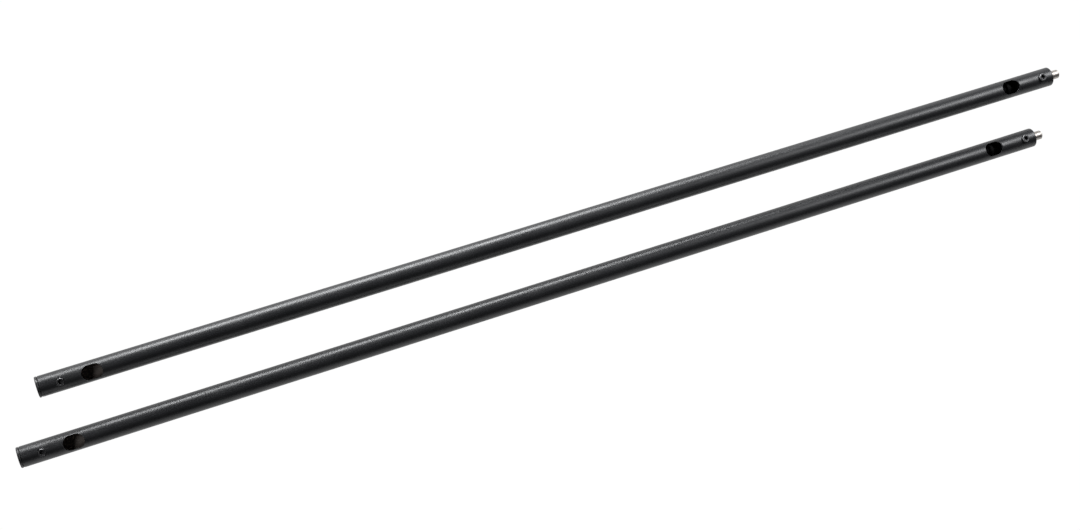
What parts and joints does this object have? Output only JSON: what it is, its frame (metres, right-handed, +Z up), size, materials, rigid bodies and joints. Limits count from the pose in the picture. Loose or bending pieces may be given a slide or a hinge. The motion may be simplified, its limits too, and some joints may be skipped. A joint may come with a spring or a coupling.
{
  "type": "bed cargo bar",
  "caption": "Pair of round black cargo bars for a truck bed, with a slot near each end, a flanged end plug and a sprung steel locating pin.",
  "frame": {"origin": "on the floor, under the middle of the pair's box", "axes": "+X along the bars towards the pins; +Y from bar b to bar a; +Z up, the way that the slot and screw at the plain end face; those at the pin end are turned 15 degrees from it towards +Y"},
  "size_m": [1.4386, 0.099, 0.0289],
  "materials": {
    "bar_coat": "satin black powder coat",
    "plug_coat": "satin black",
    "guide_coat": "satin black",
    "screw_black": "black oxide, lightly oiled",
    "pin_steel": "turned bright steel",
    "spring_steel": "oiled spring steel",
    "inner_black": "black oxide"
  },
  "bodies": {
    "bar_a": {"bar_tube_a": "bar_coat", "end_plug_a": "plug_coat", "plug_screw_a": "screw_black", "pin_guide_a": "guide_coat", "guide_screw_a": "screw_black", "pin_spring_a": "spring_steel", "spring_cap_a": "inner_black"},
    "pin_a": {"locating_pin_a": "pin_steel", "pull_collar_a": "inner_black", "roll_pin_a": "inner_black"},
    "bar_b": {"bar_tube_b": "bar_coat", "end_plug_b": "plug_coat", "plug_screw_b": "screw_black", "pin_guide_b": "guide_coat", "guide_screw_b": "screw_black", "pin_spring_b": "spring_steel", "spring_cap_b": "inner_black"},
    "pin_b": {"locating_pin_b": "pin_steel", "pull_collar_b": "inner_black", "roll_pin_b": "inner_black"}
  },
  "joints": [
    {"name": "pin_a_slide", "type": "slide", "parent": "bar_a", "child": "pin_a", "axis": [-1, 0, 0], "range_m": [0, 0.0145], "stiffness_N_per_m": 1500, "springref_m": -0.012, "deforming": ["pin_spring_a"]},
    {"name": "pin_b_slide", "type": "slide", "parent": "bar_b", "child": "pin_b", "axis": [-1, 0, 0], "range_m": [0, 0.0145], "stiffness_N_per_m": 1500, "springref_m": -0.012, "deforming": ["pin_spring_b"]},
    {"name": "bar_b_spacing", "type": "slide", "parent": "bar_a", "child": "bar_b", "axis": [0, -1, 0], "range_m": [0, 0.4]}
  ]
}
